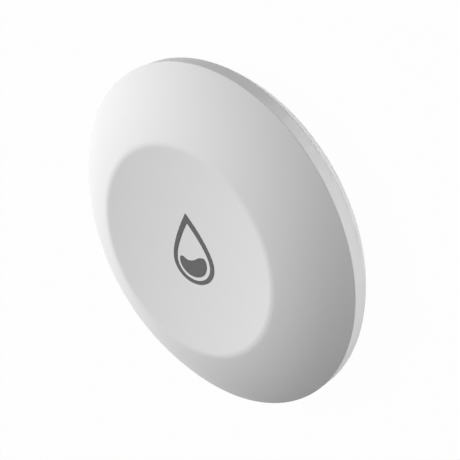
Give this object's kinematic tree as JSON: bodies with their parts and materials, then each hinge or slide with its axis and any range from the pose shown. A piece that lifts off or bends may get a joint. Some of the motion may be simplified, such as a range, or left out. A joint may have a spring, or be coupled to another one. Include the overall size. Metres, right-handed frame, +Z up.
{
  "type": "water leak sensor",
  "caption": "Round white water leak sensor: a low disc with a pressable dished top, steel probe studs for feet, a coin-slot battery door, and a coin cell and radio board inside.",
  "frame": {"origin": "on the floor plane under the middle of the disc, where the four probe studs stand", "axes": "+Z up along the disc's axis, out of the dish; +Y towards the tip of the drop symbol"},
  "size_m": [0.05, 0.05, 0.0109],
  "materials": {
    "white_plastic": "satin moulded",
    "pale_silicone": "soft, matt",
    "grey_ink": "pad print, matt",
    "black_rubber": "soft, matt",
    "stainless_steel": "turned, bright",
    "brass": "turned",
    "board_laminate": "solder mask, semi-gloss",
    "copper": "bare, dull",
    "black_epoxy": "moulded, matt",
    "tin_plate": "plated",
    "brown_ceramic": "fired ceramic, matt",
    "led_resin": "clear-cast, glossy",
    "black_plastic": "moulded, matt",
    "contact_strip": "gold flash over spring steel",
    "cell_steel": "nickel plated, brushed",
    "cell_filling": "pressed powder"
  },
  "bodies": {
    "housing": {"top_cover": "white_plastic", "base_shell": "white_plastic", "dish_membrane": "pale_silicone", "cover_seal": "black_rubber", "probe_rings": "black_rubber", "probe_studs": "stainless_steel", "probe_sleeves": "brass", "circuit_board": "board_laminate", "antenna_trace": "copper", "radio_chip": "black_epoxy", "crystal": "tin_plate", "switch_dome": "tin_plate", "switch_cover": "tin_plate", "switch_terminals": "tin_plate", "chip_parts": "brown_ceramic", "status_led": "led_resin", "switch_body": "black_plastic", "cell_ring": "black_plastic", "minus_contact": "contact_strip", "plus_contact": "contact_strip", "cell_can": "cell_steel", "cell_cap": "cell_steel", "cell_core": "cell_filling"},
    "button": {"press_dish": "white_plastic", "drop_outline": "grey_ink", "drop_water": "grey_ink"},
    "stem": {"switch_stem": "black_plastic"},
    "door": {"battery_door": "white_plastic", "door_seal": "black_rubber"}
  },
  "joints": [
    {"name": "dish_press", "type": "slide", "parent": "housing", "child": "button", "axis": [0, 0, -1], "range_m": [0, 0.0003], "stiffness_N_per_m": 2000, "deforming": ["dish_membrane"]},
    {"name": "stem_press", "type": "slide", "parent": "housing", "child": "stem", "axis": [0, 0, -1], "range_m": [0, 0.0003], "deforming": ["switch_dome"]},
    {"name": "door_turn", "type": "hinge", "parent": "housing", "child": "door", "pos_m": [0, 0, 0.0006], "axis": [0, 0, -1], "range_deg": [0, 40]}
  ],
  "couplings": [
    {"joint": "stem_press", "follows": "dish_press", "ratio": 1}
  ]
}
